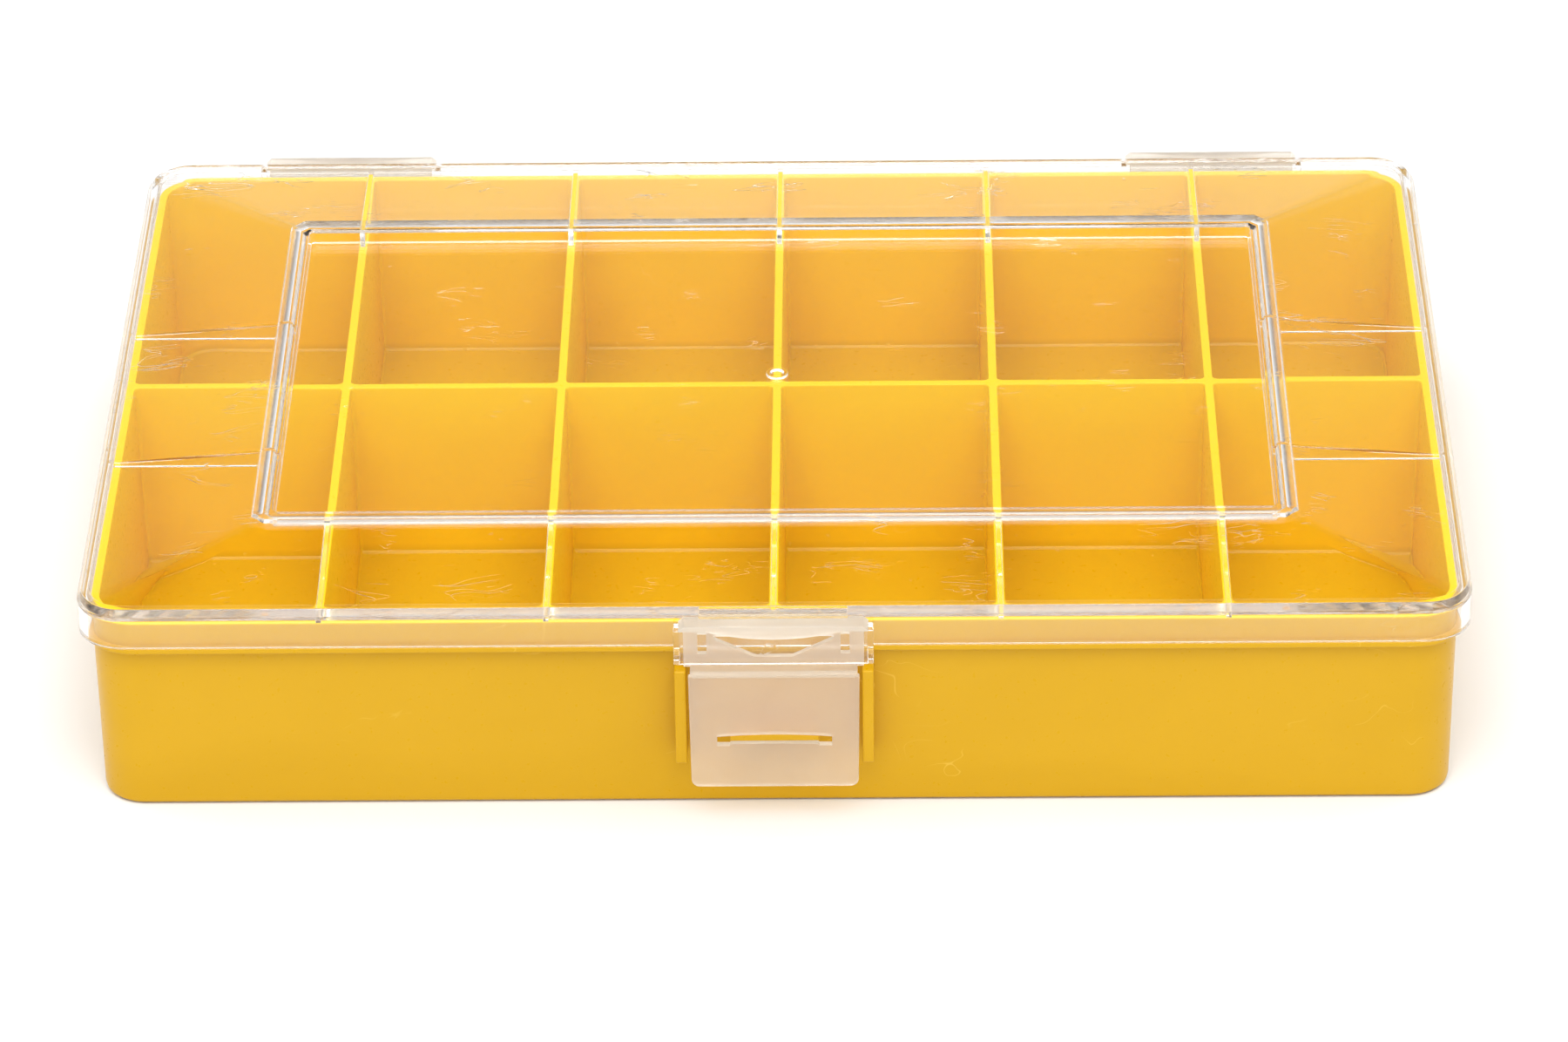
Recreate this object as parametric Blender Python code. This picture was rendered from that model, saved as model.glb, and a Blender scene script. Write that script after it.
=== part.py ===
"""Twelve-compartment tackle box with a clear hinged lid.

Frame: metres, +X to the right, +Y to the back, +Z up, origin on the table under the middle of the box.
The lid turns on the living hinges of two rear strips, and the flap of the front latch hangs from a third.
"""

import math

import bmesh
import bpy
from mathutils import Matrix, Vector

MM = 0.001

# Driving dimensions
BOX_LENGTH = 276.0 * MM
BOX_DEPTH = 188.0 * MM
CORNER_RADIUS = 9.5 * MM
CORNER_STEPS = 6
GAP = 0.3 * MM
WALL = 1.8 * MM

# Tray
TRAY_HALF_X = 135.4 * MM
TRAY_HALF_Y = 91.4 * MM
TRAY_RADIUS = 9.0 * MM
TRAY_DRAFT = 0.4 * MM
RIM_Z = 43.5 * MM
FLOOR_Z = 1.5 * MM
FOOT_ROUND = 1.3 * MM
FLANGE_Z = 38.0 * MM
FLANGE_DEPTH = 1.6 * MM
FLANGE_REACH = 1.8 * MM
COLUMNS = 6

# Lid
SKIRT_Z = FLANGE_Z + GAP
LID_RIM_Z = 47.1 * MM
BAND_WIDTH = 2.6 * MM
BAND_STEP = 0.9 * MM
RIM_CHAMFER = (1.0 * MM, 1.5 * MM)
FACET_TOP_Z = 48.8 * MM
RIDGE_Z = 49.5 * MM
RIDGE_HALF_X = 105.0 * MM
RIDGE_HALF_Y = 63.0 * MM
RIDGE_WIDTH = 4.1 * MM
PANEL_Z = 46.4 * MM
PANEL_SHEET = 1.2 * MM
CREST_DROP = 0.4 * MM
PANEL_RADIUS = 3.0 * MM
FIN_Z = RIM_Z + GAP
FIN_WIDTH = 1.1 * MM
SIDE_FINS_Y = (19.3 * MM, -33.5 * MM)
RIDGE_WALL = 1.5 * MM
SHOULDER = 1.0 * MM
UNDER_DRAFT = 0.4 * MM

# Layers of a clip strip, as distances from the middle of the box
FACE_Y = BOX_DEPTH / 2
PLATE_Y = FACE_Y + 0.4 * MM
BRACKET_Y = PLATE_Y + 1.5 * MM
LIP_Y = BRACKET_Y + 1.5 * MM
OUTER_Y = LIP_Y + 1.2 * MM
SHEET = 1.2 * MM
HINGE_Y = OUTER_Y + GAP
HINGE_Z = 34.4 * MM
STRIP_FOOT = 0.7 * MM
BRACKET_HALF = 19.7 * MM
BRACKET_LOW_Z = 36.0 * MM
BRACKET_TOP_Z = 43.8 * MM
CAP_TOP_Z = 45.7 * MM
PLATE_HALF = 17.8 * MM
CAP_HALF = 18.7 * MM
LIP_LOW_Z = 43.0 * MM
LEDGE_HALF = 14.7 * MM
LEDGE_REACH = 2.2 * MM

# Front latch
FLAP_HALF = 16.9 * MM
FLAP_LOW_Z = 8.4 * MM
SLOT_HALF = 11.4 * MM
SLOT_LOW_Z = 17.4 * MM
SLOT_TOP_Z = 19.4 * MM
GUIDE_IN = 17.4 * MM
GUIDE_OUT = 19.7 * MM
GUIDE_LOW_Z = 13.0 * MM
FLAP_RADIUS = 1.5 * MM
NOTCH_Z = (37.3 * MM, 41.4 * MM)
NOTCH_HALF = (3.8 * MM, 11.8 * MM)
WINDOW_X = (13.2 * MM, 15.0 * MM)
WINDOW_Z = (38.0 * MM, 42.5 * MM)

# Rear hinges
HINGE_X = 94.3 * MM
HINGE_HALF = 16.5 * MM
SEAT_LOW_Z = 14.0 * MM


def clear_scene():
    for item in list(bpy.data.objects):
        bpy.data.objects.remove(item, do_unlink=True)


def plastic(name, colour, roughness, transmission=0.0):
    material = bpy.data.materials.new(name)
    material.use_nodes = True
    shader = material.node_tree.nodes["Principled BSDF"]
    shader.inputs["Base Color"].default_value = (*colour, 1.0)
    shader.inputs["Roughness"].default_value = roughness
    shader.inputs["Metallic"].default_value = 0.0
    shader.inputs["Transmission Weight"].default_value = transmission
    material.diffuse_color = (*colour, 1.0)
    return material


def ring(half_x, half_y, radius, height):
    """A rounded rectangle seen from above, anticlockwise."""
    points = []
    for quarter, (side_x, side_y) in enumerate(((1, 1), (-1, 1), (-1, -1), (1, -1))):
        middle = Vector((side_x * (half_x - radius), side_y * (half_y - radius), height))
        for step in range(CORNER_STEPS + 1):
            angle = math.pi / 2 * (quarter + step / CORNER_STEPS)
            points.append(middle + radius * Vector((math.cos(angle), math.sin(angle), 0)))
    return points


def loft(rings):
    """A closed mesh through the rings, capped at the first and the last."""
    mesh = bmesh.new()
    rows = [[mesh.verts.new(point) for point in points] for points in rings]
    for lower, upper in zip(rows, rows[1:]):
        for index, vertex in enumerate(lower):
            following = (index + 1) % len(lower)
            mesh.faces.new((vertex, lower[following], upper[following], upper[index]))
    mesh.faces.new(list(reversed(rows[0])))
    mesh.faces.new(rows[-1])
    return mesh


def prism(outline, axis, low, high):
    """An outline of (u, v) points carried along an axis: x takes (y, z), y takes (x, z), z takes (x, y)."""
    def point(u, v, w):
        return {"x": (w, u, v), "y": (u, w, v), "z": (u, v, w)}[axis]

    mesh = bmesh.new()
    near = [mesh.verts.new(point(u, v, low)) for u, v in outline]
    far = [mesh.verts.new(point(u, v, high)) for u, v in outline]
    for index in range(len(outline)):
        following = (index + 1) % len(outline)
        mesh.faces.new((near[index], near[following], far[following], far[index]))
    mesh.faces.new(list(reversed(near)))
    mesh.faces.new(far)
    return mesh


def block(x, y, z):
    """A box between two limits along each axis."""
    return prism(((x[0], y[0]), (x[1], y[0]), (x[1], y[1]), (x[0], y[1])), "z", *z)


def solid(name, mesh, material=None):
    """An object in world coordinates, its faces pointing out."""
    bmesh.ops.recalc_face_normals(mesh, faces=mesh.faces)
    data = bpy.data.meshes.new(name)
    mesh.to_mesh(data)
    mesh.free()
    item = bpy.data.objects.new(name, data)
    bpy.context.scene.collection.objects.link(item)
    if material:
        data.materials.append(material)
    return item


def combine(target, mesh, operation):
    """Adds a mesh to a target, or cuts it away, with an exact Boolean."""
    tool = solid(f"{target.name}_tool", mesh)
    tool.hide_render = True
    tool.display_type = "WIRE"
    modifier = target.modifiers.new(operation.title(), "BOOLEAN")
    modifier.operation = operation
    modifier.solver = "EXACT"
    modifier.object = tool


def join(target, mesh):
    combine(target, mesh, "UNION")


def cut(target, mesh):
    combine(target, mesh, "DIFFERENCE")


def axis_empty(name, y, parent=None):
    empty = bpy.data.objects.new(name, None)
    bpy.context.scene.collection.objects.link(empty)
    empty.location = (0, y, HINGE_Z)
    if parent:
        empty.location -= parent.location
        empty.parent = parent
    return empty


def hang(item, axis, y):
    """Moves an object's origin onto a joint's axis, so that it turns with the axis's empty."""
    item.data.transform(Matrix.Translation((0, -y, -HINGE_Z)))
    item.parent = axis


def tray(material):
    def wall_ring(inset, height):
        return ring(TRAY_HALF_X - inset, TRAY_HALF_Y - inset, TRAY_RADIUS - inset, height)

    flange_low = FLANGE_Z - FLANGE_DEPTH
    soft = FOOT_ROUND * 0.3
    rings = (
        wall_ring(TRAY_DRAFT + FOOT_ROUND, 0),
        wall_ring(TRAY_DRAFT + soft, soft),
        wall_ring(TRAY_DRAFT, FOOT_ROUND),
        wall_ring(0, flange_low),
        wall_ring(-FLANGE_REACH * 0.7, flange_low + FLANGE_DEPTH * 0.25),
        wall_ring(-FLANGE_REACH, flange_low + FLANGE_DEPTH * 0.6),
        wall_ring(-FLANGE_REACH, FLANGE_Z),
        wall_ring(0, FLANGE_Z),
        wall_ring(0, RIM_Z),
        wall_ring(WALL, RIM_Z),
        wall_ring(WALL, FLOOR_Z),
    )
    item = solid("base_tray", loft(rings), material)
    wall_y = TRAY_HALF_Y - WALL / 2
    for side in (-1, 1):
        guide = sorted((side * GUIDE_IN, side * GUIDE_OUT))
        join(item, block(guide, (-LIP_Y + GAP, -wall_y), (GUIDE_LOW_Z, HINGE_Z)))
    catch_z = (SLOT_LOW_Z + GAP, SLOT_TOP_Z - GAP)
    join(item, block((-SLOT_HALF + GAP, SLOT_HALF - GAP), (-LIP_Y - SHEET / 2, -wall_y), catch_z))
    for side in (-1, 1):
        middle = side * HINGE_X
        seat_z = (SEAT_LOW_Z, HINGE_Z - STRIP_FOOT - 2 * GAP)
        seat = block((middle - BRACKET_HALF, middle + BRACKET_HALF), (wall_y, BRACKET_Y + SHEET), seat_z)
        join(item, seat)
        pocket = HINGE_HALF + GAP
        pocket_z = (SEAT_LOW_Z - WALL, HINGE_Z)
        cut(item, block((middle - pocket, middle + pocket), (PLATE_Y - GAP, BRACKET_Y), pocket_z))
    return item


def dividers(material):
    inner_x = TRAY_HALF_X - WALL - GAP
    inner_y = TRAY_HALF_Y - WALL - GAP
    z = (FLOOR_Z + GAP, RIM_Z)
    half = WALL / 2
    solid("long_divider", block((-inner_x, inner_x), (-half, half), z), material)
    pitch = column_pitch()
    for index in range(COLUMNS - 1):
        x = (index + 1 - COLUMNS / 2) * pitch
        limits = (x - half, x + half)
        solid(f"cross_divider_front_{index + 1}", block(limits, (-inner_y, -half - GAP), z), material)
        solid(f"cross_divider_rear_{index + 1}", block(limits, (half + GAP, inner_y), z), material)


def column_pitch():
    return (2 * (TRAY_HALF_X - WALL) + WALL) / COLUMNS


def lid(material):
    half_x = BOX_LENGTH / 2
    half_y = BOX_DEPTH / 2

    def edge_ring(inset, height):
        return ring(half_x - inset, half_y - inset, CORNER_RADIUS - inset, height)

    def panel_ring(inset, height):
        return ring(RIDGE_HALF_X - inset, RIDGE_HALF_Y - inset, PANEL_RADIUS, height)

    facet_z = LID_RIM_Z - BAND_STEP
    hollow = RIDGE_WIDTH - RIDGE_WALL
    rings = (
        panel_ring(hollow + UNDER_DRAFT, PANEL_Z - PANEL_SHEET),
        panel_ring(hollow, RIDGE_Z - WALL),
        panel_ring(hollow - SHOULDER, RIDGE_Z - WALL),
        panel_ring(hollow - 2 * SHOULDER, FACET_TOP_Z - WALL),
        edge_ring(BAND_WIDTH, facet_z - WALL),
        edge_ring(WALL, facet_z - WALL),
        edge_ring(WALL, SKIRT_Z),
        edge_ring(0, SKIRT_Z),
        edge_ring(0, LID_RIM_Z - RIM_CHAMFER[1]),
        edge_ring(RIM_CHAMFER[0], LID_RIM_Z),
        edge_ring(BAND_WIDTH, LID_RIM_Z),
        edge_ring(BAND_WIDTH + GAP, facet_z),
        panel_ring(0, FACET_TOP_Z),
        panel_ring(GAP, RIDGE_Z),
        panel_ring(RIDGE_WIDTH, RIDGE_Z - CREST_DROP),
        panel_ring(RIDGE_WIDTH + GAP, PANEL_Z),
    )
    item = solid("lid", loft(rings), material)
    half = FIN_WIDTH / 2
    for side in (-1, 1):
        for index in range(COLUMNS - 1):
            x = (index + 1 - COLUMNS / 2) * column_pitch()
            profile = fin_profile(RIDGE_HALF_Y, half_y - WALL / 2, side)
            join(item, prism(profile, "x", x - half, x + half))
        for y in SIDE_FINS_Y:
            profile = fin_profile(RIDGE_HALF_X, half_x - WALL / 2, side)
            join(item, prism(profile, "y", y - half, y + half))
    bracket(item, 0, -1)
    for side in (-1, 1):
        bracket(item, side * HINGE_X, 1)
    ledge_y = (-FACE_Y - LEDGE_REACH, -FACE_Y + WALL / 2)
    join(item, block((-LEDGE_HALF, LEDGE_HALF), ledge_y, (CAP_TOP_Z + GAP, LID_RIM_Z)))
    return item


def fin_profile(ridge, outer, side):
    """A fin under a facet, from the skirt to the panel's wall, its top edge inside the lid's sheet."""
    inside = WALL / 2
    facet_z = LID_RIM_Z - BAND_STEP - inside
    wall_middle = ridge - RIDGE_WIDTH + RIDGE_WALL / 2
    points = (
        (outer, FIN_Z),
        (outer, facet_z),
        (outer - BAND_WIDTH, facet_z),
        (ridge, FACET_TOP_Z - inside),
        (ridge - SHOULDER, RIDGE_Z - inside),
        (wall_middle, RIDGE_Z - inside),
        (wall_middle - GAP, PANEL_Z - PANEL_SHEET / 2),
        (wall_middle, FIN_Z),
    )
    return [(side * along, height) for along, height in points]


def bracket(item, middle, side):
    """A pocket on the skirt that a clip's plate slides into: two cheeks and a front wall."""
    z = (BRACKET_LOW_Z, BRACKET_TOP_Z)
    front = sorted((side * BRACKET_Y, side * (BRACKET_Y + SHEET)))
    join(item, block((middle - BRACKET_HALF, middle + BRACKET_HALF), front, z))
    cheek_y = sorted((side * (FACE_Y - 0.5 * MM), side * (BRACKET_Y + SHEET / 2)))
    for cheek in (-1, 1):
        x = sorted((middle + cheek * (BRACKET_HALF - SHEET), middle + cheek * BRACKET_HALF))
        join(item, block(x, cheek_y, z))


def strip_upper(name, middle, side, material):
    """The upper half of a clip: a plate in the lid's pocket, a cap over the pocket and a foot at the hinge."""
    def layer(low, high):
        return sorted((side * low, side * high))

    plate_x = (middle - PLATE_HALF, middle + PLATE_HALF)
    plate = block(plate_x, layer(PLATE_Y, PLATE_Y + SHEET), (HINGE_Z + GAP, CAP_TOP_Z))
    item = solid(name, plate, material)
    cap_x = (middle - CAP_HALF, middle + CAP_HALF)
    join(item, block(cap_x, layer(PLATE_Y, OUTER_Y), (BRACKET_TOP_Z + GAP, CAP_TOP_Z)))
    join(item, block(cap_x, layer(LIP_Y, OUTER_Y), (LIP_LOW_Z, BRACKET_TOP_Z + SHEET)))
    foot_x = (middle - HINGE_HALF, middle + HINGE_HALF)
    join(item, block(foot_x, layer(PLATE_Y, OUTER_Y), (HINGE_Z + GAP, HINGE_Z + GAP + STRIP_FOOT)))
    return item


def latch_clip(material):
    item = strip_upper("latch_clip", 0, -1, material)
    through = (-PLATE_Y - SHEET * 1.2, -PLATE_Y + SHEET / 4)
    low, high = NOTCH_Z
    narrow, wide = NOTCH_HALF
    cut(item, prism(((-narrow, low), (narrow, low), (wide, high), (-wide, high)), "y", *through))
    for side in (-1, 1):
        cut(item, block(sorted(side * x for x in WINDOW_X), through, WINDOW_Z))
    return item


def latch_flap(material):
    """The pull flap: it hangs from the latch's living hinge, and the tray's ridge snaps into its slot."""
    top_z = HINGE_Z - GAP
    outline = [(FLAP_HALF, top_z), (-FLAP_HALF, top_z)]
    for side, start in ((-1, math.pi), (1, 1.5 * math.pi)):
        for step in range(4):
            angle = start + math.pi / 2 * step / 3
            x = side * (FLAP_HALF - FLAP_RADIUS) + FLAP_RADIUS * math.cos(angle)
            outline.append((x, FLAP_LOW_Z + FLAP_RADIUS * (1 + math.sin(angle))))
    item = solid("latch_flap", prism(outline, "y", -OUTER_Y, -LIP_Y + GAP), material)
    through = (-OUTER_Y - SHEET, -LIP_Y + SHEET)
    cut(item, block((-SLOT_HALF, SLOT_HALF), through, (SLOT_LOW_Z, SLOT_TOP_Z)))
    return item


def base_leaf(name, middle, material):
    """The lower half of a rear hinge: a plate in the tray's seat, with a foot at the hinge and a hook below."""
    x = (middle - HINGE_HALF, middle + HINGE_HALF)
    foot_top = HINGE_Z - GAP
    hook_z = (SEAT_LOW_Z - GAP - SHEET, SEAT_LOW_Z - GAP)
    item = solid(name, block(x, (PLATE_Y, PLATE_Y + SHEET), (hook_z[0], foot_top)), material)
    join(item, block(x, (PLATE_Y, OUTER_Y), (foot_top - STRIP_FOOT, foot_top)))
    join(item, block(x, (PLATE_Y, BRACKET_Y + SHEET), hook_z))


def build():
    clear_scene()
    yellow = plastic("yellow_tray", (0.88, 0.47, 0.02), 0.38)
    clear = plastic("clear_lid", (0.97, 0.97, 0.98), 0.06, transmission=1.0)
    milky = plastic("milky_clip", (0.86, 0.84, 0.80), 0.45)
    tray(yellow)
    dividers(yellow)
    lid_axis = axis_empty("lid_hinge_axis", HINGE_Y)
    latch_axis = axis_empty("latch_hinge_axis", -HINGE_Y, lid_axis)
    hang(lid(clear), lid_axis, HINGE_Y)
    hang(latch_clip(milky), lid_axis, HINGE_Y)
    hang(latch_flap(milky), latch_axis, -HINGE_Y)
    for side, word in ((-1, "left"), (1, "right")):
        base_leaf(f"hinge_{word}_base_leaf", side * HINGE_X, milky)
        hang(strip_upper(f"hinge_{word}_lid_leaf", side * HINGE_X, 1, milky), lid_axis, HINGE_Y)


build()
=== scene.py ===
"""Looks of a twelve-compartment tackle box with a clear lid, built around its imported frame.

Shapes are drawn in millimetres, and plain() turns them into metres. Shader nodes, lights and the
camera work in metres. The frame's axes are +X to the right, +Y to the back and +Z up, with the
origin on the table under the middle of the box.
"""

import math

import bmesh
import bpy
from mathutils import Matrix, Vector


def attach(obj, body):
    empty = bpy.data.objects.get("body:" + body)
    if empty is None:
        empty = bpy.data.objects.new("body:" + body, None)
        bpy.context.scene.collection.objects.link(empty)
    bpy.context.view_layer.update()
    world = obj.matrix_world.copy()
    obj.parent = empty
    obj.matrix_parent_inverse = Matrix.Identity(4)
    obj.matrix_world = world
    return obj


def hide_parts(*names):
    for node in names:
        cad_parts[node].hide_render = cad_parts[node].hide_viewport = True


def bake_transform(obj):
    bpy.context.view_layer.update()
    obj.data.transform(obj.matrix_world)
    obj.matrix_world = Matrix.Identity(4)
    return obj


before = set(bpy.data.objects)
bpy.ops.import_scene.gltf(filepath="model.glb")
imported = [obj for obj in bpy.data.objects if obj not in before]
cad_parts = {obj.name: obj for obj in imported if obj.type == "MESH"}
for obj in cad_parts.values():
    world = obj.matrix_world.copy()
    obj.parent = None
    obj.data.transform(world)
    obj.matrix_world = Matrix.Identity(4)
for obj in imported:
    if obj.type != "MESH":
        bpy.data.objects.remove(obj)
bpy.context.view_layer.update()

MM = 0.001
CORNER_STEPS = 12
FILLET_STEPS = 3
FILLET_SHARE = 0.48
STRAIGHT = math.pi - 0.02
SHARP = math.radians(32)
BOUNCES = 64

# A profile's points are (inset, z, corner radius), and an outline's seen from the front are (x, z).
# An arch is (half its width, z at its ends, z in its middle).

# Tray
TRAY_HALF = (135.4, 91.4)
TRAY_RADIUS = 9.0
WALL = 1.8
RIM_Z = 43.5
FLOOR_Z = 1.5
TRAY_PROFILE = (
    (6.0, 0.0, 0),
    (0.4, 0.0, 1.7),
    (0.0, 36.2, 0.4),
    (-1.8, 36.7, 0.5),
    (-1.8, 38.0, 0.35),
    (0.0, 38.0, 0.2),
    (0.0, RIM_Z, 0.4),
    (2.0, RIM_Z, 0),
)
COLUMNS = 6
PITCH = (2 * (TRAY_HALF[0] - WALL) + WALL) / COLUMNS
POCKET_RADIUS = 1.1
POCKET_LEAST_RADIUS = 0.15
POCKET_PROFILE = (
    (-6.0, FLOOR_Z, 0),
    (-0.35, FLOOR_Z, 1.3),
    (0.0, RIM_Z - 0.1, 0.5),
    (0.45, RIM_Z + 0.25, 0),
)
GUIDE_X = (17.4, 19.7)
GUIDE_FOOT_Z = 13.0
CATCH = (
    (-8.8, 18.8),
    (8.8, 18.8),
    (8.8, 19.8),
    (4.5, 20.2),
    (0.0, 20.35),
    (-4.5, 20.2),
    (-8.8, 19.8),
)
CATCH_Y = 98.0

# Lid
LID_HALF = (138.0, 94.0)
LID_RADIUS = 9.5
LID_RIM_Z = 47.1
FACET_Z = 46.2
FACET_IN = 2.9
RIDGE_HALF = (105.0, 63.0)
RIDGE_RISE = 2.6
RIDGE_Z = 49.5
PANEL_Z = 46.4
PANEL_CHAMFER = 2.6
PANEL_CHAMFER_TAPER = 0.4
PANEL_LEAST_CHAMFER = 0.8
RIDGE_MIDDLE = 2.1
RIDGE_WIDTH = 5.0
UNDER_PANEL = (
    (6.0, 45.2, 0),
    (3.0, 45.2, 0.3),
    (2.6, 47.9, 0.1),
    (2.2, 48.0, 0.1),
    (0.2, 46.95, 0),
)
PANEL_TOP = (
    (-0.1, 48.9, 0),
    (0.5, RIDGE_Z, 0.15),
    (4.1, 49.1, 0.15),
    (4.4, PANEL_Z, 0.2),
    (9.0, PANEL_Z, 0),
)
SKIRT = (
    (2.8, FACET_Z - WALL, 0),
    (WALL, FACET_Z - WALL, 0.4),
    (WALL, 38.3, 0.35),
    (0.0, 38.3, 0.35),
    (0.0, 45.6, 0.6),
    (1.0, LID_RIM_Z, 0.4),
    (2.6, LID_RIM_Z, 0.25),
    (2.85, FACET_Z + 0.2, 0),
)
# The gate's stub in the middle of the panel, with a radius in place of the inset
GATE = (
    (2.35, 46.0, 0),
    (2.25, 46.85, 0.2),
    (1.5, 46.85, 0.2),
    (1.2, 46.5, 0.1),
    (0.3, 46.55, 0),
)
FIN_WIDTH = 1.1
FIN_FOOT_Z = RIM_Z + 0.3
FIN_CREST_Z = 48.3
SIDE_FINS_Y = (19.3, -33.5)
LEDGE_X = (-14.7, 14.7)
LEDGE_Y = (-96.2, -93.0)
LEDGE_Z = (46.0, LID_RIM_Z)

# Clip strips. The y values are distances from the box's middle, to the front or the back.
PLATE_Y = 94.4
BRACKET_Y = 95.9
FLAP_Y = 97.1
LIP_Y = 97.4
OUTER_Y = 98.6
SHEET = 1.2
HINGE_X = 94.3
HINGE_HALF = 16.5
STRIP_TOP_Z = 45.7
STRIP_FOOT_Z = 34.7
HINGE_Z = 34.4
LOWER_TOP_Z = 34.1
LEAF_FOOT_Z = 12.5
SEAT_Z = (14.0, 33.1)
SEAT_SLOT_Y = 94.1
SEAT_SLOT_FOOT_Z = 12.2
BRACKET_Z = (36.0, 43.8)
BRACKET_HALF = 19.7
CHEEK_Y = 93.4
PLATE = (
    (-17.8, STRIP_FOOT_Z),
    (17.8, STRIP_FOOT_Z),
    (17.8, 44.9),
    (17.0, STRIP_TOP_Z),
    (-17.0, STRIP_TOP_Z),
    (-17.8, 44.9),
)
CAP_LEFT = (-18.7, 44.5)
CAP_RIGHT = (18.7, 44.5)
CAP_SHOULDERS = (
    (18.7, 44.8),
    (17.6, STRIP_TOP_Z),
    (-17.6, STRIP_TOP_Z),
    (-18.7, 44.8),
)
LIP_ARCH = (15.2, 45.0, 42.7)
NOTCH = (
    (-3.8, 37.3),
    (3.8, 37.3),
    (11.8, 41.3),
    (11.8, 42.0),
    (-11.8, 42.0),
    (-11.8, 41.3),
)
WINDOW_X = (13.2, 15.0)
WINDOW_Z = (38.0, 42.5)

# The latch's flap and its slot
FLAP_TOP_HALF = 16.9
FLAP_HALF = 16.6
FLAP_FOOT_Z = 8.4
FLAP_RADIUS = 1.6
FLAP_STEPS = 6
SLOT_HALF = 11.4
SLOT_STEP_HALF = 8.9
SLOT_FOOT_Z = 18.05
SLOT_FOOT_ARCH = (8.5, 18.45, 18.55)
SLOT_TOP_ARCH = (SLOT_HALF, 20.2, 20.7)
SLOT_Y = (-99.5, -96.5)

# The living hinges, drawn as webs that curve down by WEB_DROP from WEB_TOP_Z
WEB_TOP_Z = 34.95
WEB_DROP = 1.1
WEB_INSET = 0.17
WEB_BULGE = 0.15
WEB_SHEET = 0.35
WEB_STEPS = 12

# Colours. A pair is the two ends of a blend, over flow marks, wear, cloud or grain.
# One yellow plastic in two copies: painted shade darkens the outer walls' yellow, painted light
# brightens the pockets' yellow.
OUTER_SHADE_YELLOW = ((0.535, 0.295, 0.003), (0.565, 0.315, 0.005))
POCKET_LIT_YELLOW = ((0.900, 0.590, 0.004), (0.930, 0.620, 0.006))
# Painted shade on the pockets' floors: a darker yellow.
FLOOR_SHADE_YELLOW = (0.580, 0.340, 0.003)
RUBBED_YELLOW = (1.0, 0.72, 0.16)
CLEAR = ((0.992, 0.992, 0.996), (0.96, 0.96, 0.97))
MILKY = ((0.86, 0.80, 0.72), (0.91, 0.86, 0.79))
MILKY_SHADE = (0.90, 0.86, 0.78)
PAPER = ((0.77, 0.77, 0.77), (0.79, 0.79, 0.79))

# The light all around, as the sum of bands. A band is an axis of the direction looked in, where the
# band starts and ends along it, and its strength before and after.
SURROUNDINGS = (
    ("Z", 0.28, 0.62, 0.66, 0.05),
    ("Z", 0.74, 0.86, 0.0, 2.1),
    ("Z", 0.94, 0.98, 0.0, -1.9),
    ("X", 0.22, 0.55, 0.0, 0.70),
)
# Softboxes: name, place, size and watts
LAMPS = (
    ("softbox_top", (0.0, -0.95, 2.0), 1.2, 12),
    ("softbox_front", (0.0, -1.7, 1.9), 1.8, 28),
    ("softbox_left", (-1.9, -0.9, 1.2), 1.2, 2),
    ("softbox_right", (1.9, -0.9, 1.2), 1.2, 2),
)

# The photograph's camera, solved from the box's edges
CAMERA_PLACE = (0.0196, -1.2913, 0.7838)
CAMERA_PITCH = math.radians(30.90)
CAMERA_YAW = math.radians(-0.824)
CAMERA_ROLL = math.radians(-0.778)
CAMERA_LENS = 164.25
CAMERA_SENSOR = 36


# ---------------------------------------------------------------- meshes


def ring(half, radius, height, chamfered=False):
    """A rectangle with round or chamfered corners, anticlockwise from above."""
    points = []
    for quarter, (side_x, side_y) in enumerate(((1, 1), (-1, 1), (-1, -1), (1, -1))):
        middle = Vector((side_x * (half[0] - radius), side_y * (half[1] - radius), height))
        for step in range(CORNER_STEPS + 1):
            share = step / CORNER_STEPS
            angle = math.pi / 2 * (quarter + share)
            across = Vector((math.cos(angle), math.sin(angle), 0))
            if chamfered:
                start = math.pi / 2 * quarter
                first = Vector((math.cos(start), math.sin(start), 0))
                last = Vector((-first.y, first.x, 0))
                across = first.lerp(last, share)
            points.append(middle + radius * across)
    return points


def pocket_ring(x, y, radii, grow, height):
    """A rounded rectangle between limits, with its own radius at each corner, grown outwards."""
    points = []
    corners = ((x[1], y[1]), (x[0], y[1]), (x[0], y[0]), (x[1], y[0]))
    signs = ((1, 1), (-1, 1), (-1, -1), (1, -1))
    for quarter, (corner, sign, base) in enumerate(zip(corners, signs, radii)):
        radius = max(base + grow, POCKET_LEAST_RADIUS)
        inwards = grow - radius
        middle = Vector((corner[0] + sign[0] * inwards, corner[1] + sign[1] * inwards, height))
        for step in range(CORNER_STEPS // 2 + 1):
            angle = math.pi / 2 * (quarter + 2 * step / CORNER_STEPS)
            points.append(middle + radius * Vector((math.cos(angle), math.sin(angle), 0)))
    return points


def fillet(profile):
    """Rounds the corners of an open profile of (u, v, radius) points."""
    rounded = [profile[0][:2]]
    for before, (u, v, radius), after in zip(profile, profile[1:], profile[2:]):
        corner = Vector((u, v))
        back = (Vector(before[:2]) - corner).normalized()
        on = (Vector(after[:2]) - corner).normalized()
        turn = back.angle(on)
        if radius <= 0 or turn > STRAIGHT:
            rounded.append((u, v))
            continue
        reach = min(
            radius / math.tan(turn / 2),
            FILLET_SHARE * (Vector(before[:2]) - corner).length,
            FILLET_SHARE * (Vector(after[:2]) - corner).length,
        )
        start = corner + back * reach
        end = corner + on * reach
        for step in range(FILLET_STEPS + 1):
            share = step / FILLET_STEPS
            point = start.lerp(corner, share).lerp(corner.lerp(end, share), share)
            rounded.append(tuple(point))
    rounded.append(profile[-1][:2])
    return rounded


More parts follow.
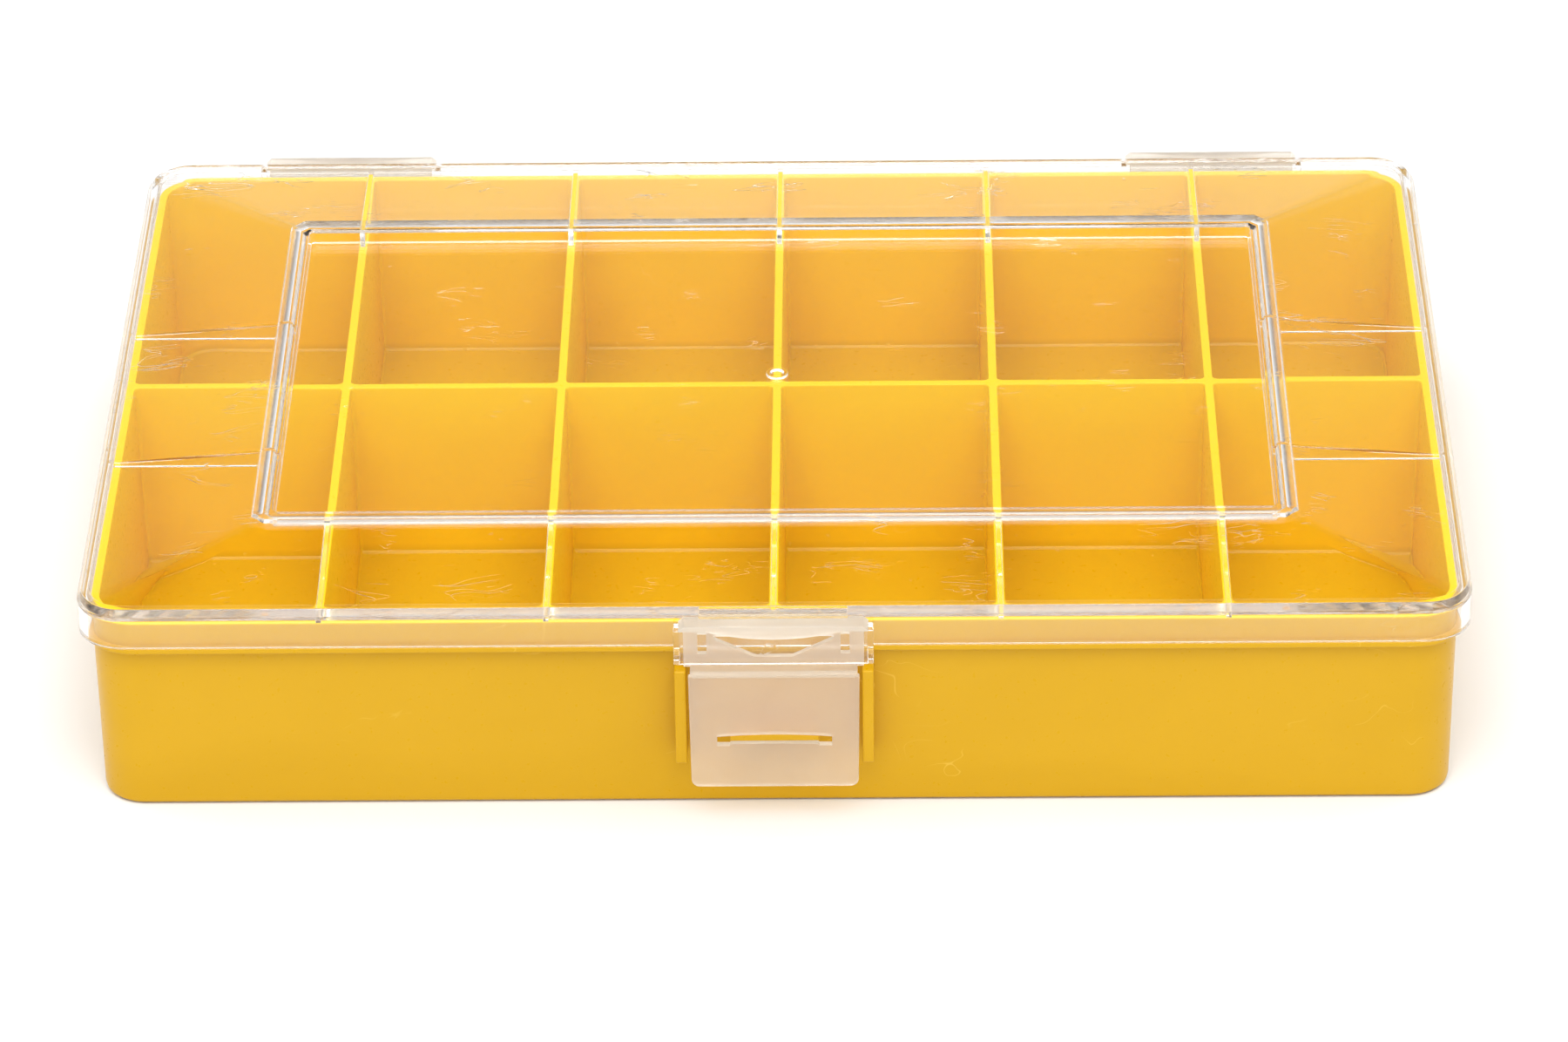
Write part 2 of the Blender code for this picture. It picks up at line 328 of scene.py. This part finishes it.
def arch(half, ends, middle, steps=10):
    """Points from -half to half on a parabola."""
    points = []
    for step in range(steps + 1):
        share = 2 * step / steps - 1
        points.append((half * share, middle + (ends - middle) * share * share))
    return points


def add_loft(mesh, rings):
    """Adds a closed skin through the rings, capped at the first and the last."""
    rows = [[mesh.verts.new(point) for point in points] for points in rings]
    for lower, upper in zip(rows, rows[1:]):
        for index, vertex in enumerate(lower):
            following = (index + 1) % len(lower)
            mesh.faces.new((vertex, lower[following], upper[following], upper[index]))
    mesh.faces.new(list(reversed(rows[0])))
    mesh.faces.new(rows[-1])
    return mesh


def add_prism(mesh, outline, axis, low, high, soft=0.0):
    """Adds an outline of (u, v) points carried along an axis, its edges rounded by soft."""
    def point(u, v, w):
        return {"x": (w, u, v), "y": (u, w, v), "z": (u, v, w)}[axis]

    near = [mesh.verts.new(point(u, v, low)) for u, v in outline]
    far = [mesh.verts.new(point(u, v, high)) for u, v in outline]
    faces = [mesh.faces.new(list(reversed(near))), mesh.faces.new(far)]
    for index in range(len(outline)):
        following = (index + 1) % len(outline)
        faces.append(mesh.faces.new((near[index], near[following], far[following], far[index])))
    bmesh.ops.recalc_face_normals(mesh, faces=faces)
    if soft:
        edges = {edge for face in faces for edge in face.edges if edge.calc_face_angle(0) > SHARP}
        bmesh.ops.bevel(
            mesh,
            geom=list(edges),
            offset=soft,
            segments=FILLET_STEPS,
            profile=0.5,
            affect="EDGES",
            clamp_overlap=True,
        )
    return mesh


def add_block(mesh, x, y, z, soft=0.0):
    """Adds a box between limits, its edges rounded by soft."""
    x, y = sorted(x), sorted(y)
    outline = ((x[0], y[0]), (x[1], y[0]), (x[1], y[1]), (x[0], y[1]))
    return add_prism(mesh, outline, "z", *z, soft)


def loft(rings):
    return add_loft(bmesh.new(), rings)


def prism(outline, axis, low, high, soft=0.0):
    return add_prism(bmesh.new(), outline, axis, low, high, soft)


def block(x, y, z, soft=0.0):
    return add_block(bmesh.new(), x, y, z, soft)


def plain(name, mesh):
    """An object from a mesh in millimetres."""
    bmesh.ops.recalc_face_normals(mesh, faces=mesh.faces)
    mesh.transform(Matrix.Scale(MM, 4))
    data = bpy.data.meshes.new(name)
    mesh.to_mesh(data)
    mesh.free()
    return place_in_scene(name, data)


def place_in_scene(name, data):
    item = bpy.data.objects.new(name, data)
    bpy.context.scene.collection.objects.link(item)
    return item


def settle(item):
    """Turns an object's modifiers into its mesh."""
    graph = bpy.context.evaluated_depsgraph_get()
    old = item.data
    item.data = bpy.data.meshes.new_from_object(item.evaluated_get(graph))
    item.modifiers.clear()
    bpy.data.meshes.remove(old)


def solid(name, mesh, material, steps=()):
    """A finished piece: a mesh with others joined to it or cut from it, smooth over small bends."""
    item = plain(name, mesh)
    for operation, tool_mesh in steps:
        tool = plain(f"{name}_tool", tool_mesh)
        modifier = item.modifiers.new(operation, "BOOLEAN")
        modifier.operation = operation
        modifier.solver = "EXACT"
        modifier.use_self = operation == "UNION"
        modifier.object = tool
        settle(item)
        bpy.data.objects.remove(tool)
    item.data.materials.clear()
    item.data.materials.append(material)
    item.data.shade_smooth()
    item.data.set_sharp_from_angle(angle=SHARP)
    weighted = item.modifiers.new("even", "WEIGHTED_NORMAL")
    weighted.keep_sharp = True
    weighted.weight = 80
    settle(item)
    return item


# ------------------------------------------------------------- materials


class Graph:
    """A tree of shader nodes, and short ways to add to it."""

    def __init__(self, tree, coordinates):
        self.tree = tree
        self.place = self.add("ShaderNodeTexCoord").outputs[coordinates]

    def add(self, kind, **values):
        node = self.tree.nodes.new(kind)
        for key, value in values.items():
            setattr(node, key, value)
        return node

    def link(self, source, target):
        self.tree.links.new(source, target)

    def axis(self, name):
        parts = self.add("ShaderNodeSeparateXYZ")
        self.link(self.place, parts.inputs[0])
        return parts.outputs[name]

    def away(self, name):
        """The distance from an axis's zero, on either side."""
        return self.math("ABSOLUTE", self.axis(name))

    def band(self, source, low, high, to_low=0.0, to_high=1.0, smooth=False):
        """A source taken from low and high to to_low and to_high, and held there beyond them."""
        kind = "SMOOTHSTEP" if smooth else "LINEAR"
        node = self.add("ShaderNodeMapRange", interpolation_type=kind)
        limits = {"From Min": low, "From Max": high, "To Min": to_low, "To Max": to_high}
        for name, value in limits.items():
            node.inputs[name].default_value = value
        self.link(source, node.inputs["Value"])
        return node.outputs["Result"]

    def math(self, operation, *values):
        node = self.add("ShaderNodeMath", operation=operation)
        for socket, value in zip(node.inputs, values):
            if isinstance(value, (int, float)):
                socket.default_value = value
            else:
                self.link(value, socket)
        return node.outputs[0]


class Finish(Graph):
    """A material on a Principled BSDF, coloured by place on the object, in metres."""

    def __init__(self, name):
        self.material = bpy.data.materials.new(name)
        self.material.use_nodes = True
        super().__init__(self.material.node_tree, "Object")
        self.shader = self.tree.nodes["Principled BSDF"]

    def give(self, name, value):
        """Sets one of the shader's inputs, to a number or to what a node works out."""
        if isinstance(value, float):
            self.shader.inputs[name].default_value = value
        else:
            self.link(value, self.shader.inputs[name])

    def noise(self, scale, detail, distortion=0.0, stretch=(1, 1, 1)):
        mapping = self.add("ShaderNodeMapping")
        mapping.inputs["Scale"].default_value = stretch
        self.link(self.place, mapping.inputs["Vector"])
        node = self.add("ShaderNodeTexNoise")
        node.inputs["Scale"].default_value = scale
        node.inputs["Detail"].default_value = detail
        node.inputs["Distortion"].default_value = distortion
        self.link(mapping.outputs["Vector"], node.inputs["Vector"])
        return node.outputs["Fac"]

    def blend(self, factor, first, second):
        """From the first colour to the second as the factor goes from 0 to 1."""
        node = self.add("ShaderNodeMix", data_type="RGBA")
        colours = [socket for socket in node.inputs if socket.type == "RGBA"]
        for socket, value in zip(colours, (first, second)):
            if isinstance(value, tuple):
                socket.default_value = (*value, 1)
            else:
                self.link(value, socket)
        self.link(factor, node.inputs[0])
        return next(socket for socket in node.outputs if socket.type == "RGBA")

    def past(self, half):
        """How far a point lies past a rectangle's sides, across and along."""
        sides = zip(("X", "Y"), half)
        return [self.math("SUBTRACT", self.away(name), reach * MM) for name, reach in sides]

    def beyond(self, half):
        """How far a point lies outside a rectangle seen from above, negative inside it."""
        return self.math("MAXIMUM", *self.past(half))

    def outside(self):
        """From 0 to 1, how much a point lies on the tray's outer walls or its underside."""
        core = (TRAY_HALF[0] - TRAY_RADIUS, TRAY_HALF[1] - TRAY_RADIUS)
        past = [self.math("MAXIMUM", length, 0.0) for length in self.past(core)]
        squares = self.math("ADD", *(self.math("POWER", length, 2.0) for length in past))
        from_core = self.math("SQRT", squares)
        height = self.axis("Z")
        beside = self.band(from_core, (TRAY_RADIUS - 0.9) * MM, (TRAY_RADIUS - 0.5) * MM)
        under = self.band(height, (FLOOR_Z - 0.5) * MM, (FLOOR_Z - 0.2) * MM, 1.0, 0.0)
        below_rim = self.band(height, (RIM_Z - 0.6) * MM, (RIM_Z - 0.2) * MM, 1.0, 0.0)
        return self.math("MULTIPLY", self.math("MAXIMUM", beside, under), below_rim)

    def frosted_edges(self):
        """From 0 to 1 on the lid's ridge and rim, whose mould surfaces are a little matt."""
        middle = self.math("ABSOLUTE", self.math("ADD", self.beyond(RIDGE_HALF), RIDGE_MIDDLE * MM))
        half = RIDGE_WIDTH / 2
        ridge = self.band(middle, (half - 0.2) * MM, (half + 0.2) * MM, 1.0, 0.0)
        rim = self.band(self.beyond(LID_HALF), -(FACET_IN + 0.2) * MM, -(FACET_IN - 0.2) * MM)
        above = self.band(self.axis("Z"), 45.0 * MM, 45.5 * MM)
        return self.math("MULTIPLY", self.math("MAXIMUM", ridge, rim), above)

    def scratches(self, scale, width, patch_scale, patch):
        """Thin drawn-out lines, from 0 to 1, where a coarser noise is over patch."""
        lines = self.noise(scale, 1.0, distortion=0.5, stretch=(0.7, 2.4, 1.0))
        near = self.math("ABSOLUTE", self.math("SUBTRACT", lines, 0.5))
        thin = self.band(near, 0.0, width, 1.0, 0.0)
        where = self.band(self.noise(patch_scale, 2.0), patch, patch + 0.06)
        return self.math("MULTIPLY", thin, where)

    def bump(self, height, strength, distance):
        node = self.add("ShaderNodeBump")
        node.inputs["Strength"].default_value = strength
        node.inputs["Distance"].default_value = distance
        self.link(height, node.inputs["Height"])
        self.give("Normal", node.outputs["Normal"])

    def open_to_light(self, tint):
        """Lets diffuse and shadow rays through, tinted, much as a thin clear sheet does."""
        source = self.shader.outputs["BSDF"]
        for kind in ("Is Diffuse Ray", "Is Shadow Ray"):
            clear = self.add("ShaderNodeBsdfTransparent")
            clear.inputs["Color"].default_value = (*tint, 1)
            mix = self.add("ShaderNodeMixShader")
            self.link(self.add("ShaderNodeLightPath").outputs[kind], mix.inputs[0])
            self.link(source, mix.inputs[1])
            self.link(clear.outputs["BSDF"], mix.inputs[2])
            source = mix.outputs["Shader"]
        self.link(source, self.tree.nodes["Material Output"].inputs["Surface"])


def yellow_plastic():
    """Glossy opaque yellow polystyrene, with flow marks and fine rubbing, and painted light and
    shade: a darker yellow on the outer walls, a brighter one in the pockets, and darker pocket
    floors.
    """
    finish = Finish("yellow_tray_finish")
    flow = finish.noise(14.0, 3.0, distortion=0.6, stretch=(1, 1, 2.5))
    flow = finish.band(flow, 0.35, 0.65)
    outer = finish.blend(flow, *OUTER_SHADE_YELLOW)
    pocket_light_and_shade = finish.blend(flow, *POCKET_LIT_YELLOW)
    height = finish.axis("Z")
    # Painted shade: the pockets' floors and the foot of their walls are blended towards a darker
    # yellow.
    floor_shade = finish.band(height, (FLOOR_Z + 0.1) * MM, (FLOOR_Z + 2.0) * MM, 0.65, 0.0)
    pocket_light_and_shade = finish.blend(floor_shade, pocket_light_and_shade, FLOOR_SHADE_YELLOW)
    # The outer walls and underside take the painted-shade yellow, and the pockets take the
    # painted-light yellow.
    colour = finish.blend(finish.outside(), pocket_light_and_shade, outer)
    rubbed = finish.scratches(140.0, 0.008, 60.0, 0.64)
    colour = finish.blend(finish.math("MULTIPLY", rubbed, 0.25), colour, RUBBED_YELLOW)
    finish.give("Base Color", colour)
    grain = finish.noise(900.0, 2.0)
    rough = finish.band(grain, 0.3, 0.7, 0.27, 0.36)
    finish.give("Roughness", finish.math("ADD", rough, finish.math("MULTIPLY", rubbed, 0.2)))
    relief = finish.math("ADD", finish.math("MULTIPLY", grain, 0.25), flow)
    finish.bump(relief, strength=0.08, distance=0.3 * MM)
    finish.give("IOR", 1.55)
    finish.give("Specular IOR Level", 0.2)
    return finish.material


def clear_plastic():
    """Clear polystyrene, a little wavy, with scuffs that are mostly on the facets."""
    finish = Finish("clear_lid_finish")
    long_scuffs = finish.scratches(60.0, 0.006, 40.0, 0.60)
    short_scuffs = finish.scratches(150.0, 0.009, 80.0, 0.63)
    scuffs = finish.math("MAXIMUM", long_scuffs, short_scuffs)
    on_facets = finish.band(finish.beyond(RIDGE_HALF), -10.0 * MM, 1.0 * MM, 0.12, 0.8)
    scuffs = finish.math("MULTIPLY", scuffs, on_facets)
    haze = finish.band(finish.noise(420.0, 2.0), 0.70, 0.78)
    worn = finish.math("MAXIMUM", scuffs, finish.math("MULTIPLY", haze, 0.5))
    finish.give("Base Color", finish.blend(worn, *CLEAR))
    worn_rough = finish.math("MULTIPLY", worn, 0.35)
    frost_rough = finish.math("MULTIPLY", finish.frosted_edges(), 0.14)
    finish.give("Roughness", finish.math("MAXIMUM", worn_rough, frost_rough))
    waves = finish.math("MULTIPLY", finish.noise(26.0, 2.0, distortion=0.4), 0.04)
    finish.bump(finish.math("ADD", waves, scuffs), strength=0.2, distance=0.3 * MM)
    finish.give("Transmission Weight", 1.0)
    finish.give("IOR", 1.59)
    finish.open_to_light((1.0, 1.0, 1.0))
    return finish.material


def milky_plastic():
    """Natural polypropylene: milky, a little waxy, with the colour behind it showing through."""
    finish = Finish("milky_clip_finish")
    cloud = finish.band(finish.noise(90.0, 3.0, distortion=0.5), 0.3, 0.7)
    finish.give("Base Color", finish.blend(cloud, *MILKY))
    grain = finish.noise(1400.0, 2.0)
    finish.give("Roughness", finish.band(grain, 0.3, 0.7, 0.40, 0.52))
    finish.bump(grain, strength=0.10, distance=0.1 * MM)
    finish.give("Transmission Weight", 0.86)
    finish.give("IOR", 1.49)
    finish.open_to_light(MILKY_SHADE)
    return finish.material


# ---------------------------------------------------------------- pieces


def spread(middle, half):
    """The two ends of a range."""
    return (middle - half, middle + half)


def tray(material):
    """The tray with its twelve pockets, its catch and guides in front, and the hinges' seats."""
    inner_y = TRAY_HALF[1] - WALL
    wall_y = TRAY_HALF[1] - WALL / 2
    outer = [
        ring((TRAY_HALF[0] - inset, TRAY_HALF[1] - inset), TRAY_RADIUS - inset, height)
        for inset, height in fillet(TRAY_PROFILE)
    ]
    added = bmesh.new()
    slots = bmesh.new()
    for side in (-1, 1):
        guide_x = [side * x for x in GUIDE_X]
        add_block(added, guide_x, (-FLAP_Y, -wall_y), (GUIDE_FOOT_Z, HINGE_Z), soft=0.35)
        seat_x = spread(side * HINGE_X, BRACKET_HALF)
        add_block(added, seat_x, (wall_y, BRACKET_Y + SHEET), SEAT_Z, soft=0.4)
        slot_x = spread(side * HINGE_X, HINGE_HALF + 0.3)
        add_block(slots, slot_x, (SEAT_SLOT_Y, BRACKET_Y), (SEAT_SLOT_FOOT_Z, HINGE_Z))
    add_prism(added, CATCH, "y", -CATCH_Y, -wall_y, soft=0.2)
    pockets = bmesh.new()
    depth = fillet(POCKET_PROFILE)
    for column in range(COLUMNS):
        x = spread((column + 0.5 - COLUMNS / 2) * PITCH, (PITCH - WALL) / 2)
        end = {0: -1, COLUMNS - 1: 1}.get(column, 0)
        for row in (-1, 1):
            y = sorted((row * WALL / 2, row * inner_y))
            radii = [
                TRAY_RADIUS - WALL if corner == (end, row) else POCKET_RADIUS
                for corner in ((1, 1), (-1, 1), (-1, -1), (1, -1))
            ]
            add_loft(pockets, [pocket_ring(x, y, radii, grow, height) for grow, height in depth])
    steps = (("UNION", added), ("DIFFERENCE", slots), ("DIFFERENCE", pockets))
    return solid("tray_moulding", loft(outer), material, steps)


def roof(x, y):
    """The height of the lid's sloping facets."""
    share = min(
        (LID_HALF[0] - FACET_IN - abs(x)) / (LID_HALF[0] - FACET_IN - RIDGE_HALF[0]),
        (LID_HALF[1] - FACET_IN - abs(y)) / (LID_HALF[1] - FACET_IN - RIDGE_HALF[1]),
    )
    return FACET_Z + RIDGE_RISE * share


def lid(material):
    """The lid: skirt, rim, facets and recessed panel, with fins below and the strips' brackets."""
    def edge_ring(inset, height):
        return ring((LID_HALF[0] - inset, LID_HALF[1] - inset), LID_RADIUS - inset, height)

    def panel_ring(inset, height):
        half = (RIDGE_HALF[0] - inset, RIDGE_HALF[1] - inset)
        chamfer = max(PANEL_CHAMFER - PANEL_CHAMFER_TAPER * inset, PANEL_LEAST_CHAMFER)
        return ring(half, chamfer, height, chamfered=True)

    def on_roof(points, drop=0.0):
        return [Vector((point.x, point.y, roof(point.x, point.y) - drop)) for point in points]

    rings = [panel_ring(inset, height) for inset, height in fillet(UNDER_PANEL)[:-1]]
    rings.append(on_roof(panel_ring(UNDER_PANEL[-1][0], 0), WALL))
    rings += [edge_ring(inset, height) for inset, height in fillet(SKIRT)]
    rings.append(on_roof(edge_ring(FACET_IN + 0.1, 0)))
    rings.append(on_roof(panel_ring(0.0, 0)))
    rings += [panel_ring(inset, height) for inset, height in fillet(PANEL_TOP)[1:]]
    fins = bmesh.new()
    for side in (-1, 1):
        outline = fin_outline(RIDGE_HALF[1], LID_HALF[1], side)
        for index in range(COLUMNS - 1):
            x = (index + 1 - COLUMNS / 2) * PITCH
            add_prism(fins, outline, "x", *spread(x, FIN_WIDTH / 2), soft=0.12)
        outline = fin_outline(RIDGE_HALF[0], LID_HALF[0], side)
        for y in SIDE_FINS_Y:
            add_prism(fins, outline, "y", *spread(y, FIN_WIDTH / 2), soft=0.12)
    fittings = bmesh.new()
    add_block(fittings, LEDGE_X, LEDGE_Y, LEDGE_Z, soft=0.25)
    for middle, side in ((0, -1), (-HINGE_X, 1), (HINGE_X, 1)):
        front_y = (side * BRACKET_Y, side * (BRACKET_Y + SHEET))
        add_block(fittings, spread(middle, BRACKET_HALF), front_y, BRACKET_Z, soft=0.25)
        cheek_y = (side * CHEEK_Y, side * (BRACKET_Y + SHEET / 2))
        for end in (-1, 1):
            cheek_x = (middle + end * (BRACKET_HALF - SHEET), middle + end * (BRACKET_HALF - 0.02))
            add_block(fittings, cheek_x, cheek_y, BRACKET_Z, soft=0.2)
    gate = loft([ring((radius, radius), radius, height) for radius, height in fillet(GATE)])
    steps = (("UNION", fins), ("UNION", fittings), ("UNION", gate))
    return solid("lid_moulding", loft(rings), material, steps)


def fin_outline(ridge, edge, side):
    """A fin under a facet, from skirt to panel wall, its upper edge inside the lid's sheet."""
    facet = FACET_Z - WALL / 2
    points = (
        (edge - WALL / 2, FIN_FOOT_Z),
        (edge - WALL / 2, facet),
        (edge - 2.6, facet),
        (ridge, FACET_Z + RIDGE_RISE - WALL / 2),
        (ridge - 1.3, FIN_CREST_Z),
        (ridge - 3.4, FIN_CREST_Z),
        (ridge - 3.7, PANEL_Z - 0.6),
        (ridge - 3.4, FIN_FOOT_Z),
    )
    return [(side * along, height) for along, height in points]


def strip_top(name, middle, side, material, latch):
    """A strip's upper half: a plate in the lid's bracket, a cap with a lip over it, and a foot."""
    def layer(low, high):
        return sorted((side * low, side * high))

    def at(points):
        return [(middle + u, v) for u, v in points]

    lip = [CAP_LEFT, *arch(*LIP_ARCH), CAP_RIGHT, *CAP_SHOULDERS]
    cap = [CAP_LEFT, CAP_RIGHT, *CAP_SHOULDERS]
    foot_z = (STRIP_FOOT_Z, STRIP_FOOT_Z + 0.7)
    added = bmesh.new()
    add_prism(added, at(cap), "y", *layer(PLATE_Y, OUTER_Y), soft=0.25)
    add_prism(added, at(lip), "y", *layer(LIP_Y, OUTER_Y), soft=0.25)
    add_block(added, spread(middle, HINGE_HALF), layer(PLATE_Y, OUTER_Y), foot_z, soft=0.1)
    steps = [("UNION", added)]
    if latch:
        openings = bmesh.new()
        through = layer(PLATE_Y - 0.5, PLATE_Y + SHEET + 0.2)
        add_prism(openings, at(NOTCH), "y", *through)
        for end in (-1, 1):
            add_block(openings, [end * x for x in WINDOW_X], through, WINDOW_Z)
        steps.append(("DIFFERENCE", openings))
    plate = prism(at(PLATE), "y", *layer(PLATE_Y, PLATE_Y + SHEET), soft=0.15)
    return solid(name, plate, material, steps)


def flap(material):
    """The latch's pull flap, with the slot that snaps over the tray's catch."""
    outline = [(FLAP_TOP_HALF, LOWER_TOP_Z), (-FLAP_TOP_HALF, LOWER_TOP_Z)]
    for side, start in ((-1, math.pi), (1, 1.5 * math.pi)):
        for step in range(FLAP_STEPS + 1):
            angle = start + math.pi / 2 * step / FLAP_STEPS
            x = side * (FLAP_HALF - FLAP_RADIUS) + FLAP_RADIUS * math.cos(angle)
            z = FLAP_FOOT_Z + FLAP_RADIUS + FLAP_RADIUS * math.sin(angle)
            outline.append((x, z))
    low = [
        (-SLOT_HALF, SLOT_FOOT_Z),
        (-SLOT_STEP_HALF, SLOT_FOOT_Z),
        *arch(*SLOT_FOOT_ARCH),
        (SLOT_STEP_HALF, SLOT_FOOT_Z),
        (SLOT_HALF, SLOT_FOOT_Z),
    ]
    high = reversed(arch(*SLOT_TOP_ARCH))
    slot = prism([*low, *high], "y", *SLOT_Y)
    sheet = prism(outline, "y", -OUTER_Y, -FLAP_Y, soft=0.3)
    return solid("latch_flap_sheet", sheet, material, [("DIFFERENCE", slot)])


def leaf(name, middle, material):
    """The lower half of a rear hinge, in the tray's seat."""
    x = spread(middle, HINGE_HALF)
    lip_z = (LOWER_TOP_Z - 0.7, LOWER_TOP_Z)
    foot_z = (LEAF_FOOT_Z, LEAF_FOOT_Z + SHEET)
    added = bmesh.new()
    add_block(added, x, (PLATE_Y, OUTER_Y), lip_z, soft=0.1)
    add_block(added, x, (PLATE_Y, BRACKET_Y + SHEET), foot_z, soft=0.3)
    plate = block(x, (PLATE_Y, PLATE_Y + SHEET), (LEAF_FOOT_Z, LOWER_TOP_Z), soft=0.2)
    return solid(name, plate, material, [("UNION", added)])


def web(name, middle, side, lower, material):
    """The thin living hinge between a strip's halves."""
    points = []
    for step in range(WEB_STEPS + 1):
        share = step / WEB_STEPS
        bulge = WEB_BULGE * math.sin(math.pi * share)
        points.append((OUTER_Y - WEB_INSET + bulge, WEB_TOP_Z - WEB_DROP * share))
    outline = [(side * y, z) for y, z in points]
    outline += [(side * (y - WEB_SHEET), z) for y, z in reversed(points)]
    item = solid(name, prism(outline, "x", *spread(middle, HINGE_HALF - 0.4)), material)
    if lower == "base":
        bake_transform(item)
    else:
        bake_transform(item)


def pieces():
    yellow = yellow_plastic()
    clear = clear_plastic()
    milky = milky_plastic()
    dividers = [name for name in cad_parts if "divider" in name]
    standing = [
        (tray(yellow), "base", "yellow_tray", ["base_tray", *sorted(dividers)]),
        (lid(clear), "lid", "clear_lid", ["lid"]),
        (strip_top("latch_clip_strip", 0, -1, milky, True), "lid", "milky_clips", ["latch_clip"]),
        (flap(milky), "latch", "milky_clips", ["latch_flap"]),
    ]
    for side, word in ((-1, "left"), (1, "right")):
        x = side * HINGE_X
        top = strip_top(f"hinge_{word}_strip_top", x, 1, milky, False)
        standing.append((top, "lid", "milky_clips", [f"hinge_{word}_lid_leaf"]))
        low = leaf(f"hinge_{word}_strip_leaf", x, milky)
        standing.append((low, "base", "milky_clips", [f"hinge_{word}_base_leaf"]))
        web(f"hinge_{word}_web", x, 1, "base", milky)
    web("latch_web", 0, -1, "latch", milky)
    for item, body, slot, nodes in standing:
        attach(item, body)
        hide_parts(*nodes)


# ----------------------------------------------------------------- studio


def studio():
    """A pale floor, softboxes, and light all around that is strongest from high up."""
    floor = plain("studio_floor", block((-9000, 9000), (-9000, 9000), (-20, -0.05)))
    finish = Finish("studio_floor_finish")
    finish.give("Base Color", finish.blend(finish.noise(3.0, 2.0), *PAPER))
    finish.give("Roughness", 0.8)
    finish.give("Specular IOR Level", 0.0)
    floor.data.materials.append(finish.material)

    world = bpy.data.worlds.new("studio")
    bpy.context.scene.world = world
    world.use_nodes = True
    graph = Graph(world.node_tree, "Generated")
    sources = {"Z": graph.axis("Z"), "X": graph.away("X")}
    bands = [graph.band(sources[name], *limits, smooth=True) for name, *limits in SURROUNDINGS]
    total = bands[0]
    for part in bands[1:]:
        total = graph.math("ADD", total, part)
    back = graph.tree.nodes["Background"]
    back.inputs["Color"].default_value = (1, 1, 1, 1)
    graph.link(total, back.inputs["Strength"])

    for name, place, size, power in LAMPS:
        light = bpy.data.lights.new(name, "AREA")
        light.size = size
        light.energy = power
        item = place_in_scene(name, light)
        item.location = place
        item.rotation_euler = (-Vector(place)).to_track_quat("-Z", "Y").to_euler()


def camera():
    """The photograph's camera."""
    yaw_sine, yaw_cosine = math.sin(CAMERA_YAW), math.cos(CAMERA_YAW)
    level = math.cos(CAMERA_PITCH)
    ahead = Vector((yaw_sine * level, yaw_cosine * level, -math.sin(CAMERA_PITCH)))
    right = Vector((yaw_cosine, -yaw_sine, 0))
    up = right.cross(ahead)
    across = right * math.cos(CAMERA_ROLL) + up * math.sin(CAMERA_ROLL)
    upward = up * math.cos(CAMERA_ROLL) - right * math.sin(CAMERA_ROLL)
    data = bpy.data.cameras.new("camera")
    data.sensor_width = CAMERA_SENSOR
    data.lens = CAMERA_LENS
    data.clip_start = 0.05
    item = place_in_scene("camera", data)
    turn = Matrix((across, upward, -ahead)).transposed().to_4x4()
    item.matrix_world = Matrix.Translation(CAMERA_PLACE) @ turn
    bpy.context.scene.camera = item


pieces()
studio()
camera()
scene = bpy.context.scene
scene.view_settings.view_transform = "Standard"
scene.cycles.max_bounces = BOUNCES
scene.cycles.transmission_bounces = BOUNCES
scene.cycles.glossy_bounces = BOUNCES
